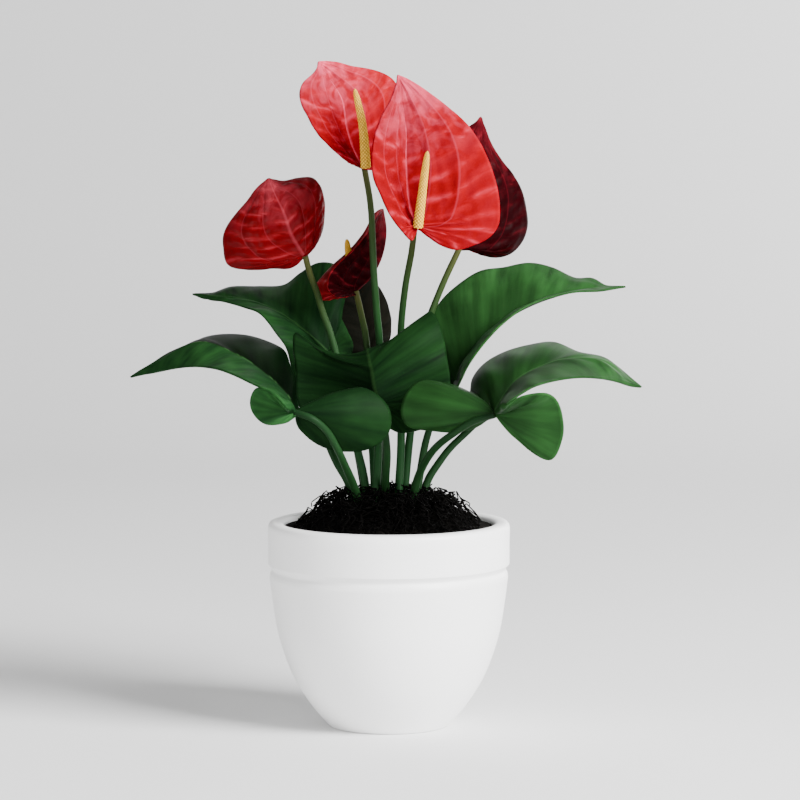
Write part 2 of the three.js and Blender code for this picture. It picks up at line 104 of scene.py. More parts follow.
def grid_quads(rows, columns, closed=False):
    """Corner numbers of the quads between rows of points; closed joins each row's last point to its first."""
    count = columns if closed else columns - 1
    i, j = np.meshgrid(np.arange(rows - 1), np.arange(count), indexing="ij")
    k = (j + 1) % columns
    corners = [i * columns + j, i * columns + k, (i + 1) * columns + k, (i + 1) * columns + j]
    return np.stack(corners, axis=-1).reshape(-1, 4)


def new_piece(name, points, quads, materials, uv=None, tone=None):
    """A smooth-shaded mesh object at the origin, with doubled points merged.

    uv gives each point its place in the materials, and tone the painted light and shade that scales its
    colour.
    """
    mesh = bpy.data.meshes.new(name)
    mesh.from_pydata(points.reshape(-1, 3).tolist(), [], quads.tolist())
    if uv is not None:
        layer = mesh.uv_layers.new(name="UVMap")
        layer.data.foreach_set("uv", uv.reshape(-1, 2)[quads.ravel()].ravel())
    if tone is not None:
        mesh.attributes.new("tone", "FLOAT", "POINT").data.foreach_set("value", tone.ravel())
    work = bmesh.new()
    work.from_mesh(mesh)
    bmesh.ops.remove_doubles(work, verts=work.verts, dist=1e-6)
    bmesh.ops.dissolve_degenerate(work, edges=work.edges, dist=1e-7)
    work.to_mesh(mesh)
    work.free()
    mesh.polygons.foreach_set("use_smooth", [True] * len(mesh.polygons))
    for material in materials:
        mesh.materials.append(material)
    made = bpy.data.objects.new(name, mesh)
    bpy.context.scene.collection.objects.link(made)
    return made


def sweep_points():
    """The floor's profile, a quarter circle and the wall's profile, carried across the full width."""
    turn = np.linspace(0, np.pi / 2, 25)
    curve_y = SWEEP_BACK - SWEEP_RADIUS + SWEEP_RADIUS * np.sin(turn)
    curve_z = SWEEP_RADIUS * (1 - np.cos(turn))
    y = np.concatenate([[SWEEP_FRONT], curve_y, [SWEEP_BACK]])
    z = np.concatenate([[0.0], curve_z, [SWEEP_TOP]])
    left = np.stack([np.full_like(y, -SWEEP_HALF_WIDTH), y, z], axis=-1)
    return np.stack([left, left * (-1, 1, 1)], axis=1)


# Matt paper: no gloss, so that the light falls off evenly over it.
paper = bare_material("matt_paper")
paper_shader = add(paper, "BsdfPrincipled", {
    "Base Color": colour("#E4E4E4"), "Roughness": 0.9, "Specular IOR Level": 0.1})
add(paper, "OutputMaterial", {"Surface": paper_shader})

sweep_rows = sweep_points()
sweep = new_piece("studio_sweep", sweep_rows, grid_quads(len(sweep_rows), 2), [paper])


def soft_box(name, place, target, size, watts):
    """A square area light at a place, turned to face a target."""
    light = bpy.data.lights.new(name, "AREA")
    light.shape = "SQUARE"
    light.size = size
    light.energy = watts
    lamp = bpy.data.objects.new(name, light)
    lamp.location = place
    aim = np.array(target) - np.array(place)
    tilt = np.arccos(-aim[2] / np.linalg.norm(aim))
    lamp.rotation_euler = (tilt, 0, np.arctan2(aim[1], aim[0]) - np.pi / 2)
    bpy.context.scene.collection.objects.link(lamp)


soft_box("key_light", (2.0, -1.5, 1.55), (0, 0, 0.2), 1.4, 350)
soft_box("front_light", (0.3, -2.8, 0.6), (0, 0, 0.25), 1.2, 35)
soft_box("top_light", (0.3, 0.2, 2.6), (0, 0, 0.25), 2.0, 10)
soft_box("fill_light", (-2.4, -1.4, 0.4), (0, 0, 0.2), 1.2, 48)
soft_box("wall_light", (2.4, 2.2, 0.9), (1.2, 3.2, 0.5), 0.6, 85)

room = bpy.data.worlds.new("room")
room.use_nodes = True
room_light = room.node_tree.nodes["Background"]
room_light.inputs["Color"].default_value = (1, 1, 1, 1)
room_light.inputs["Strength"].default_value = 0.14
bpy.context.scene.world = room


# ---------- Pot ----------
# A thick-walled tapered pot, cast and fired, with a plain upright band above a soft groove.
# It is glazed satin white, and stands on its flat base.
POT_HEIGHT = 136  # mm, as are the sizes of all the pieces
RIM_RADIUS = 80
RIM_WIDTH = 10.6
INNER_RADIUS = RIM_RADIUS - RIM_WIDTH
BASE_RADIUS = 40.6
WALL = 6
FLOOR = 9
POT_SIDES = 160
# the pot's section, as points of radius and height
POT_BASE = [(0, 0), (20, 0), (BASE_RADIUS - 2.2, 0), (BASE_RADIUS - 0.9, 0.15)]
POT_BODY = [(BASE_RADIUS, 0.8), (49.8, 11.3), (60.3, 26.8), (66.9, 40.9), (73.5, 61.7), (77, 82.5),
            (79.1, 99)]
GROOVE = [(79.1, 99.5), (78.7, 101.8), (77.5, 104.4), (78.6, 106.6), (RIM_RADIUS, 108.2)]
LIP = [(RIM_RADIUS, 108.5), (RIM_RADIUS, 121), (RIM_RADIUS, 132.4), (79.2, 134.8), (77.2, 135.9),
       (74.5, POT_HEIGHT), (72.2, 135.7), (70.2, 134.6), (INNER_RADIUS, 132.5), (INNER_RADIUS, 118),
       (INNER_RADIUS, 100)]
POT_INSIDE = [(INNER_RADIUS, 100), (66.9 - WALL, 42), (60.3 - WALL, 29), (BASE_RADIUS, FLOOR)]
BODY_STEPS = 48
GROOVE_STEPS = 16
CURVE_STEPS = 40  # in each stretch of a smooth curve
GLAZE_PEEL = 6.25  # from one dimple to the next, as coarse as it needs to be to show
GLAZE_CLOUD = 110


def smooth_curve(points, shares):
    """The centripetal Catmull-Rom curve through the points, read at shares of its length.

    A segment is a cubic whose end slopes come from its neighbours, weighted by the roots of the chords.
    """
    known = np.asarray(points, float)
    p = np.vstack([2 * known[0] - known[1], known, 2 * known[-1] - known[-2]])
    knot = np.sqrt(np.linalg.norm(np.diff(p, axis=0), axis=1))[:, None]
    before, span, after = knot[:-2], knot[1:-1], knot[2:]
    p0, p1, p2, p3 = p[:-3], p[1:-2], p[2:-1], p[3:]
    slope1 = span * ((p1 - p0) / before - (p2 - p0) / (before + span)) + (p2 - p1)
    slope2 = span * ((p3 - p2) / after - (p3 - p1) / (span + after)) + (p2 - p1)
    x = (np.arange(CURVE_STEPS) / CURVE_STEPS)[None, :, None]
    p1, p2, slope1, slope2 = p1[:, None], p2[:, None], slope1[:, None], slope2[:, None]
    chord = p2 - p1
    dense = p1 + slope1 * x + (3 * chord - 2 * slope1 - slope2) * x**2 + (slope1 + slope2 - 2 * chord) * x**3
    dense = np.vstack([dense.reshape(-1, known.shape[1]), known[-1]])
    length = np.concatenate([[0], np.cumsum(np.linalg.norm(np.diff(dense, axis=0), axis=1))])
    at = np.asarray(shares) * length[-1]
    return np.stack([np.interp(at, length, axis) for axis in dense.T], axis=-1)


def turned(profile, sides):
    """A profile of radius and height in mm, turned about the vertical axis, in metres."""
    turn = np.linspace(0, 2 * np.pi, sides, endpoint=False)
    radius, height = np.asarray(profile, float).T * MM
    ring = np.stack([np.cos(turn), np.sin(turn), np.zeros(sides)], axis=-1)
    return radius[:, None, None] * ring[None] + height[:, None, None] * np.array([0, 0, 1.0])


# Fired clay under a satin white glaze: an even, slightly soft reflection and a very faint orange peel.
glaze = bare_material("satin_white_glaze")
glaze_place = add(glaze, "TexCoord").outputs["Object"]
glaze_peel = add(glaze, "TexNoise", {
    "Vector": glaze_place, "Scale": 1 / (GLAZE_PEEL * MM), "Detail": 2.0})
glaze_bump = add(glaze, "Bump", {"Height": glaze_peel, "Strength": 0.04, "Distance": 0.001})
glaze_cloud = add(glaze, "TexNoise", {
    "Vector": glaze_place, "Scale": 1 / (GLAZE_CLOUD * MM), "Detail": 3.0})
glaze_tone = add(glaze, "Mix", {0: glaze_cloud, 6: colour("#EDEDED"), 7: colour("#F4F4F3")}, data_type="RGBA")
glaze_shader = add(glaze, "BsdfPrincipled", {
    "Base Color": glaze_tone, "Roughness": 0.42, "Normal": glaze_bump})
add(glaze, "OutputMaterial", {"Surface": glaze_shader})


def pot_profile():
    """From the base's middle up the outside, over the lip and down the inside to the floor's middle."""
    body = smooth_curve(POT_BODY, np.linspace(0, 1, BODY_STEPS))
    groove = smooth_curve(GROOVE, np.linspace(0, 1, GROOVE_STEPS))
    lip = smooth_curve(LIP, np.linspace(0, 1, BODY_STEPS))
    return np.vstack([POT_BASE, body, groove, lip, POT_INSIDE, [(0, FLOOR)]])


profile = pot_profile()
pot_quads = grid_quads(len(profile), POT_SIDES, closed=True)[:, ::-1]
pot = new_piece("pot_body", turned(profile, POT_SIDES), pot_quads, [glaze])
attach(pot, "root")
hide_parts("pot")


# ---------- Soil ----------
# Dark potting soil, pressed in by hand, that heaps up to a broad mound in the middle of the pot.
MOUND_HEIGHT = 9  # above the pot's lip
HEAP_RADIUS = 60
SOIL_EDGE = POT_HEIGHT - 3.5
LUMP_HEIGHT = 1.4
SOIL_GRAIN = 0.7
SOIL_FADE = 8  # from the pot's wall, where the lumps and the grain begin
SOIL_RINGS = 90
GAP = 0.3  # between the soil and the pot
PEAT_CRUMB = 3
PEAT_CLOUD = 8

# Moist peat and bark crumbs: almost black, with brown flecks, and quite without gloss.
peat = bare_material("moist_peat")
peat_place = add(peat, "TexCoord").outputs["Object"]
peat_crumbs = add(peat, "TexVoronoi", {"Vector": peat_place, "Scale": 1 / (PEAT_CRUMB * MM)})
peat_cloud = add(peat, "TexNoise", {
    "Vector": peat_place, "Scale": 1 / (PEAT_CLOUD * MM), "Detail": 6.0})
peat_tone = add(peat, "Mix", {0: peat_cloud, 6: colour("#0A0908"), 7: colour("#1E1C19")}, data_type="RGBA")
peat_bump = add(peat, "Bump", {"Height": peat_crumbs, "Strength": 0.9, "Distance": 0.002})
peat_shader = add(peat, "BsdfPrincipled", {
    "Base Color": peat_tone, "Roughness": 0.95, "Specular IOR Level": 0.03, "Normal": peat_bump})
add(peat, "OutputMaterial", {"Surface": peat_shader})


def mound_height(x, y):
    """Height in mm of the soil at a place: a flat-topped heap in a level ring, with lumps and a grain."""
    radius = np.minimum(np.hypot(x, y), INNER_RADIUS)
    heap = np.maximum(0, 1 - (radius / HEAP_RADIUS) ** 3)
    dome = SOIL_EDGE + (POT_HEIGHT + MOUND_HEIGHT - SOIL_EDGE) * heap
    fade = np.clip((INNER_RADIUS - radius) / SOIL_FADE, 0, 1)
    lumps = LUMP_HEIGHT * np.sin(x / 7) * np.cos(y / 6)
    grain = np.sin(1.9 * x + 2.3 * np.sin(0.9 * y)) * np.sin(2.1 * y + 1.7 * np.sin(1.1 * x))
    return dome + fade * (lumps + SOIL_GRAIN * grain)


def soil_points():
    """Rings from the bottom's middle out and up the pot's wall, a gap clear of it, then over the mound."""
    wall = [(radius - GAP, height + GAP) for radius, height in reversed(POT_INSIDE)]
    below = turned([(0, FLOOR + GAP), *wall], POT_SIDES)
    radius = np.linspace(INNER_RADIUS - GAP, 0, SOIL_RINGS)
    above = turned(np.stack([radius, np.zeros(SOIL_RINGS)], axis=-1), POT_SIDES)
    above[..., 2] = mound_height(above[..., 0] / MM, above[..., 1] / MM) * MM
    return np.concatenate([below, above])


soil_rings = soil_points()
soil_quads = grid_quads(len(soil_rings), POT_SIDES, closed=True)[:, ::-1]
soil = new_piece("soil_mound", soil_rings, soil_quads, [peat])
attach(soil, "root")
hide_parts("soil")


# ---------- Moss ----------
# A cushion of dry, black, wiry moss laid on the heaped soil, with the bare level soil showing round it.
# Each strand is a stiff zigzag of needles, and some strands stand up.
STRANDS = 1800
STRAND_BENDS = 9
STRAND_STEP = 5.4
STRAND_RADIUS = 0.45  # thicker than real moss, so that it shows
STRAND_SIDES = 3
MOSS_REACH = 50  # where the strands start
MOSS_EDGE = 61  # where the last of them end
MOSS_DEPTH = 4
WILD_SHARE = 0.18  # of the strands stand proud of the rest
WILD_DEPTH = 17
NEEDLE_TAPER = 0.06  # of a needle's length, at either end
FIBRE_CLOUD = 16
random = np.random.default_rng(7)

# Dried moss fibre: black with a little brown, and a faint sheen along each strand.
fibre = bare_material("dried_moss_fibre")
fibre_place = add(fibre, "TexCoord").outputs["Object"]
fibre_cloud = add(fibre, "TexNoise", {
    "Vector": fibre_place, "Scale": 1 / (FIBRE_CLOUD * MM), "Detail": 3.0})
fibre_tone = add(fibre, "Mix", {0: fibre_cloud, 6: colour("#010101"), 7: colour("#060504")}, data_type="RGBA")
fibre_shader = add(fibre, "BsdfPrincipled", {
    "Base Color": fibre_tone, "Roughness": 0.7, "Specular IOR Level": 0.03})
add(fibre, "OutputMaterial", {"Surface": fibre_shader})


def moss_paths():
    """Zigzags from random places: each step turns sharply left, then right, and climbs or falls at random.

    Most strands lie low over the soil and some stand wild, and all of them lie lower near the heap's edge.
    """
    shape = (STRANDS, STRAND_BENDS)
    place = MOSS_REACH * np.sqrt(random.random(STRANDS))
    around = random.random(STRANDS) * 2 * np.pi
    start = np.stack([place * np.cos(around), place * np.sin(around)], axis=-1)
    heading = random.random(STRANDS)[:, None] * 2 * np.pi
    turn = np.where(np.arange(STRAND_BENDS) % 2, 1.0, -1.0) * (0.5 + 0.8 * random.random(shape))
    turn = turn + heading + 0.3 * np.cumsum(random.normal(size=shape), axis=1)
    step = STRAND_STEP * (0.5 + random.random(shape))
    flat = start[:, None] + np.cumsum(np.stack([step * np.cos(turn), step * np.sin(turn)], axis=-1), axis=1)
    reach = np.linalg.norm(flat, axis=-1, keepdims=True)
    flat *= np.minimum(1, MOSS_EDGE / np.maximum(reach, 1e-6))
    edge = np.clip(1.4 - (reach[..., 0] / HEAP_RADIUS) ** 3, 0.25, 1)
    depth = np.where(random.random(STRANDS) < WILD_SHARE, WILD_DEPTH, MOSS_DEPTH)[:, None]
    rise = 0.4 + depth * (0.6 * random.random(STRANDS)[:, None] + 0.4 * random.random(shape)) * edge
    height = mound_height(flat[..., 0], flat[..., 1]) + rise
    return np.concatenate([flat, height[..., None]], axis=-1) * MM


def needles(start, end, radius, sides):
    """A thin closed prism from each start to its end, in four rings, of which the outer two are points."""
    way = end - start
    across = np.cross(way, (0.31, 0.17, 0.93))
    across /= np.linalg.norm(across, axis=-1, keepdims=True)
    beside = np.cross(way, across)
    beside /= np.linalg.norm(beside, axis=-1, keepdims=True)
    turn = np.arange(sides)[:, None] * 2 * np.pi / sides
    ring = across[..., None, :] * np.cos(turn) + beside[..., None, :] * np.sin(turn)
    share = np.array([0, NEEDLE_TAPER, 1 - NEEDLE_TAPER, 1])[:, None]
    thick = np.array([0, 1, 1, 0])[:, None, None]
    centre = start[..., None, :] + way[..., None, :] * share
    return centre[..., None, :] + radius * thick * ring[..., None, :, :]


moss_bends = moss_paths()
moss_rings = needles(moss_bends[:, :-1], moss_bends[:, 1:], STRAND_RADIUS * MM, STRAND_SIDES)
rings_each = moss_rings.shape[-3]
needle_starts = np.arange(STRANDS * (STRAND_BENDS - 1))[:, None, None] * rings_each * STRAND_SIDES
moss_quads = (needle_starts + grid_quads(rings_each, STRAND_SIDES, closed=True)).reshape(-1, 4)
moss = new_piece("moss_strands", moss_rings, moss_quads, [fibre])
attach(moss, "root")


# ---------- Leaves ----------
# Each leaf grew as one piece: a firm round stalk that carries a leathery, heart-shaped blade.
# The blade is drawn by its midrib and its two margins, and its veins run from midrib to margin
# or, in the two lobes, from the end of the stalk.
LEAVES = {
    "low_left": {
        "stalk": [(-20, -14, 148), (-22, -26, 160), (-28, -44, 177), (-33, -60, 190),
                  (-40, -70, 203), (-49, -75, 211), (-61, -72, 215)],
        "midrib": [(-60, -72, 215), (-64, -70, 224), (-79, -60, 238), (-99, -46, 250),
                   (-122, -34, 257), (-146, -26, 247), (-169, -20, 233)],
        "notch": (-58, -74, 214),
        "left": {"ahead": 0.56, "arch": -0.05, "margin": [
            (-156, -28, 236), (-129, -48, 242), (-108, -72, 242), (-86, -96, 235), (-70, -108, 228),
            (-64, -108, 221), (-72, -98, 228), (-83, -95, 232), (-87, -93, 226), (-87, -92, 219),
            (-83, -90, 212), (-77, -87, 208), (-68, -80, 208), (-62, -75, 210)]},
        "right": {"ahead": 0.4, "arch": -0.05, "margin": [
            (-158, -16, 239), (-140, -8, 248), (-120, 0, 258), (-96, 3, 259), (-78, 1, 254),
            (-69, -3, 249), (-66, -11, 241), (-65, -20, 233), (-63, -31, 221), (-59, -40, 210),
            (-52, -46, 207), (-42, -50, 216), (-31, -53, 223), (-19, -55, 229), (-8, -55, 225),
            (1, -56, 214), (0, -57, 200), (-12, -56, 190), (-26, -56, 188), (-39, -58, 190),
            (-51, -64, 197), (-58, -71, 206)]},
    },
    "low_right": {
        "stalk": [(16, -14, 148), (18, -20, 163), (23, -31, 177), (31, -47, 190), (43, -63, 201),
                  (55, -71, 209), (68, -72, 213)],
        "midrib": [(68, -72, 214), (73, -69, 223), (80, -62, 232), (87, -56, 237), (96, -50, 241),
                   (112, -42, 246), (137, -34, 245), (157, -28, 231), (165, -26, 227)],
        "notch": (69, -74, 212),
        "left": {"ahead": 0.42, "arch": -0.05, "margin": [
            (160, -20, 231), (143, -12, 244), (125, 0, 248), (109, 6, 254), (93, 8, 252),
            (78, 6, 248), (66, 4, 242), (59, 0, 236), (55, -6, 230), (54, -14, 225), (53, -22, 223),
            (50, -30, 224), (45, -38, 228), (33, -48, 232), (20, -54, 233), (11, -58, 225),
            (8, -60, 213), (12, -60, 205), (27, -60, 202), (43, -61, 201), (55, -64, 204),
            (64, -69, 210)]},
        "right": {"ahead": 0.5, "arch": -0.05, "margin": [
            (158, -32, 228), (147, -42, 232), (131, -62, 236), (113, -82, 237), (91, -100, 233),
            (74, -112, 223), (85, -118, 229), (100, -116, 230), (106, -114, 225), (110, -110, 210),
            (109, -106, 199), (103, -100, 187), (90, -90, 192), (79, -80, 203)]},
    },
    "middle": {
        "stalk": [(-2, -6, 148), (-2, -13, 165), (-1, -23, 184), (-3, -30, 203), (-6, -34, 218)],
        "midrib": [(-6, -34, 217), (-9, -34, 226), (-11, -30, 238), (-13, -22, 247),
                   (-14, -12, 251), (-15, -3, 246), (-16, 3, 234)],
        "notch": (-6, -38, 215),
        "left": {"ahead": 0.6, "arch": 0.1, "margin": [
            (-27, 5, 236), (-42, 2, 247), (-56, -3, 258), (-62, -7, 261), (-63, -9, 252),
            (-62, -11, 244), (-61, -13, 234), (-61, -15, 224), (-59, -17, 214), (-51, -20, 208),
            (-37, -24, 205), (-23, -29, 205), (-12, -32, 208)]},
        "right": {"ahead": 0.6, "arch": -0.04, "margin": [
            (-4, 5, 238), (12, 2, 252), (21, -1, 266), (27, -5, 275), (32, -10, 270),
            (36, -15, 258), (38, -20, 246), (40, -27, 233), (39, -36, 221), (35, -43, 211),
            (27, -46, 204), (17, -46, 200), (6, -44, 199), (-3, -40, 205)]},
    },
    "upper_left": {
        "stalk": [(-23, 3, 147), (-27, 4, 161), (-35, 7, 175), (-41, 13, 189), (-44, 21, 208),
                  (-43, 26, 228), (-41, 27, 246)],
        "midrib": [(-41, 27, 246), (-55, 25, 259), (-76, 26, 274), (-96, 30, 281), (-116, 36, 283),
                   (-132, 42, 284)],
        "notch": (-40, 27, 243),
        "left": {"ahead": 0.5, "arch": -0.06, "margin": [
            (-123, 38, 281), (-111, 29, 280), (-97, 18, 277), (-85, 8, 273), (-76, 6, 262),
            (-68, 8, 250), (-65, 12, 238), (-63, 16, 226), (-60, 19, 214), (-55, 21, 208),
            (-49, 23, 212), (-44, 25, 226), (-41, 26, 240)]},
        "right": {"ahead": 0.62, "arch": -0.06, "margin": [
            (-120, 48, 284), (-107, 56, 288), (-89, 62, 288), (-71, 64, 289), (-60, 64, 297),
            (-48, 60, 304), (-36, 55, 303), (-29, 50, 294), (-32, 46, 281), (-34, 42, 273),
            (-28, 36, 260), (-24, 31, 250), (-28, 27, 240), (-36, 26, 239)]},
    },
    "upper_right": {
        "stalk": [(17, -2, 147), (20, 3, 163), (25, 7, 190), (33, 8, 211), (44, 8, 223)],
        "midrib": [(44, 8, 223), (47, 6, 236), (56, 8, 249), (70, 12, 263), (89, 20, 275),
                   (114, 30, 284), (138, 38, 288), (159, 44, 289)],
        "notch": (43, 6, 220),
        "left": {"ahead": 0.72, "arch": -0.05, "margin": [
            (147, 48, 289), (137, 54, 294), (126, 56, 294), (110, 60, 301), (95, 60, 304),
            (77, 58, 301), (62, 54, 299), (48, 48, 291), (34, 43, 278), (27, 37, 264),
            (24, 31, 248), (27, 24, 233), (33, 15, 222), (39, 9, 218)]},
        "right": {"ahead": 0.76, "arch": -0.05, "margin": [
            (142, 30, 287), (123, 14, 287), (105, -2, 284), (90, -14, 279), (75, -24, 269),
            (62, -31, 256), (52, -31, 242), (46, -25, 229), (41, -14, 219), (41, -2, 216)]},
    },
    "rear": {
        "stalk": [(-5, 13, 146), (-4, 24, 170), (-5, 37, 200), (-9, 44, 224), (-14, 46, 243)],
        "midrib": [(-14, 46, 242), (-18, 52, 263), (-24, 56, 285), (-30, 58, 304)],
        "notch": (-13, 45, 240),
        "left": {"ahead": 0.72, "arch": -0.06, "margin": [
            (-37, 60, 299), (-44, 60, 286), (-45, 56, 267), (-40, 50, 249), (-29, 46, 237),
            (-20, 45, 237)]},
        "right": {"ahead": 0.72, "arch": -0.06, "margin": [
            (-20, 58, 301), (-9, 56, 291), (-3, 54, 282), (1, 52, 269), (1, 50, 256), (-3, 46, 244),
            (-9, 44, 238)]},
    },
    "rear_left": {
        "stalk": [(-15, 6, 147), (-18, 12, 165), (-22, 19, 185), (-25, 24, 203)],
        "midrib": [(-25, 24, 202), (-36, 44, 214), (-54, 80, 221), (-72, 120, 217), (-86, 150, 204)],
        "notch": (-23, 21, 199),
        "left": {"ahead": 0.72, "arch": -0.06, "margin": [
            (-89, 128, 209), (-88, 100, 222), (-76, 72, 221), (-60, 52, 213), (-46, 37, 204),
            (-34, 26, 196), (-28, 22, 196)]},
        "right": {"ahead": 0.74, "arch": -0.06, "margin": [
            (-74, 155, 209), (-56, 140, 216), (-40, 115, 223), (-26, 86, 223), (-17, 58, 214),
            (-13, 38, 204), (-14, 27, 196), (-19, 21, 196)]},
    },
    "rear_right": {
        "stalk": [(22, 7, 147), (26, 10, 162), (33, 13, 173), (41, 17, 183), (52, 22, 193),
                  (64, 27, 204)],
        "midrib": [(64, 27, 204), (68, 44, 214), (75, 74, 222), (82, 104, 223), (88, 132, 214)],
        "notch": (62, 25, 202),
        "left": {"ahead": 0.74, "arch": -0.06, "margin": [
            (82, 134, 217), (74, 118, 222), (67, 94, 224), (63, 70, 221), (60, 50, 215),
            (57, 36, 208), (59, 28, 203)]},
        "right": {"ahead": 0.74, "arch": -0.06, "margin": [
            (92, 120, 219), (98, 95, 225), (98, 70, 225), (92, 52, 222), (80, 40, 214),
            (70, 30, 206)]},
    },
}

RIB_SHARE = 9 / 16  # of a blade's rows start on the midrib, and the others at the junction
VEIN_LEAN = 1.25  # above 1, the veins lean towards the tip
BLADE_ROWS = 128
VEIN_STEPS = 30
LEAF_THICKNESS = 1.2
LEAF_VEINS = 10
LEAF_RELIEF = 0.9
LEAF_BANDS = (34.0, 2.0, 1.0)  # round a half and across it
LEAF_CLOUD = 45
LEAF_NET = 2.4  # between the finest veins, drawn coarser than they are, so that they show
LIT_LEAVES = ("low_right", "upper_right")  # painted light: these leaves, on the lit right, take the brighter copy of the leaf skin
# painted light and shade, where other leaves shade a half or the light falls full on it: how light a blade is
# along its midrib and in its lobe, in the left half and then in the right one
NO_PAINTED_SHADES = ((1, 1), (1, 1))
PAINTED_LEAF_SHADES = {
    "low_left": ((1.3, 2.1), (0.15, 0.65)),
    "low_right": ((1.05, 0.55), (0.85, 1.15)),
    "middle": ((0.45, 0.45), (0.55, 0.6)),
}
STALK_FOOT_RADIUS = 2.9
LEAF_STALK_TOP_RADIUS = 2.1
STALK_DEPTH = 18  # of its foot in the soil
STALK_SIDES = 16
STALK_RINGS = 90
STALK_STREAKS = (6.0, 14.0, 1.0)  # along a stalk and round it


def half_blade(blade, half, side, relief):
    """One half of a blade in mm, as rows of points from the tip round to the notch.

    A row runs from the midrib to the margin, at matching shares of both. The midrib's rows reach the share
    of the margin that the half calls ahead, and the junction's rows the rest. A row bulges by the half's
    arch, and relief, a function of the row's share and of the place along it, moves it across the sheet.
    """
    share = np.arange(BLADE_ROWS + 1) / BLADE_ROWS
    ahead = np.clip(share / RIB_SHARE, 0, 1)
    lobe = np.clip((share - RIB_SHARE) / (1 - RIB_SHARE), 0, 1)
    start = smooth_curve(blade["midrib"], (1 - ahead) ** VEIN_LEAN)
    margin = [blade["midrib"][-1], *half["margin"], blade["notch"]]
    end = smooth_curve(margin, half["ahead"] * ahead + (1 - half["ahead"]) * lobe)
    vein = end - start
    out = np.cross(np.gradient((start + end) / 2, axis=0), vein) * side
    out /= np.maximum(np.linalg.norm(out, axis=1, keepdims=True), 1e-9)
    bulge = half["arch"] * np.linalg.norm(vein, axis=1) * (1 - lobe**6)
    s = np.linspace(0, 1, VEIN_STEPS + 1)
    bow = (4 * s * (1 - s))[:, None] * (out * bulge[:, None])[:, None]
    sheet = start[:, None] + vein[:, None] * s[:, None] + bow
    across = np.cross(np.gradient(sheet, axis=0), np.gradient(sheet, axis=1)) * side
    across /= np.maximum(np.linalg.norm(across, axis=-1, keepdims=True), 1e-9)
    return sheet + across * relief(share[:, None], s[None, :])[..., None]


def blade_piece(name, blade, relief, thickness, materials, painted_half_shades, face=-1):
    """Both halves of a blade, joined along the midrib and given their thickness.

    face, 1 or -1, says which side the first material covers and relief raises. Each half's colour is scaled
    by the light and shade painted on it, given along the midrib and in its lobe.
    """
    left = half_blade(blade, blade["left"], 1, lambda share, s: face * relief(share, s))
    right = half_blade(blade, blade["right"], -1, lambda share, s: face * relief(share, s))
    quads = grid_quads(BLADE_ROWS + 1, VEIN_STEPS + 1)
    rows, steps = np.linspace(0, 1, BLADE_ROWS + 1), np.linspace(0, 0.5, VEIN_STEPS + 1)
    along, out = np.meshgrid(rows, steps, indexing="ij")
    uv = np.stack([np.stack([along, 0.5 - out], -1), np.stack([along, 0.5 + out], -1)])
    faces = np.concatenate([quads[:, ::-face], quads[:, ::face] + left[..., 0].size])
    # painted light and shade, blended from its value along the midrib to its value in the lobe
    into_lobe = np.clip((along - RIB_SHARE + 0.05) / 0.15, 0, 1)
    tone = np.stack([by_rib + (in_lobe - by_rib) * into_lobe for by_rib, in_lobe in painted_half_shades])
    made = new_piece(name, np.stack([left, right]) * MM, faces, materials, uv, tone)
    solid = made.modifiers.new("thickness", "SOLIDIFY")
    solid.thickness = thickness * MM
    solid.offset = 0
    solid.material_offset = 1
    return made


def tube_piece(name, points, radius_at, material, sides=STALK_SIDES, rings=STALK_RINGS):
    """Rings round a smooth curve; radius_at gives their radius in mm at shares of the length and turns."""
    shares = np.linspace(0, 1, rings)
    centre = smooth_curve(points, shares)
    along = np.gradient(centre, axis=0)
    along /= np.linalg.norm(along, axis=1, keepdims=True)
    across = np.cross(along, (0, 1, 0))
    across /= np.linalg.norm(across, axis=1, keepdims=True)
    beside = np.cross(along, across)
    turn = np.arange(sides) * 2 * np.pi / sides
    ring = across[:, None] * np.cos(turn)[:, None] + beside[:, None] * np.sin(turn)[:, None]
    radius = radius_at(shares[:, None], turn[None, :])
    body = centre[:, None] + radius[..., None] * ring
    ends = [np.repeat(centre[i][None, None], sides, axis=1) for i in (0, -1)]
    body = np.concatenate([ends[0], body, ends[1]]) * MM
    uv = np.stack(np.meshgrid([0, *shares, 1], turn / (2 * np.pi), indexing="ij"), axis=-1)
    return new_piece(name, body, grid_quads(rings + 2, sides, closed=True), [material], uv)


def leaf_relief(share, s):
    """Soft waves along the side veins, of uneven height, that die out at all the edges of the half."""
    wave = np.sin(2 * np.pi * LEAF_VEINS * share + 1.5 * np.sin(5 * s))
    wave = wave * (0.65 + 0.35 * np.sin(11 * share + 3 * s))
    return LEAF_RELIEF * wave * np.sin(np.pi * s) ** 0.8 * np.sin(np.pi * share) ** 0.5


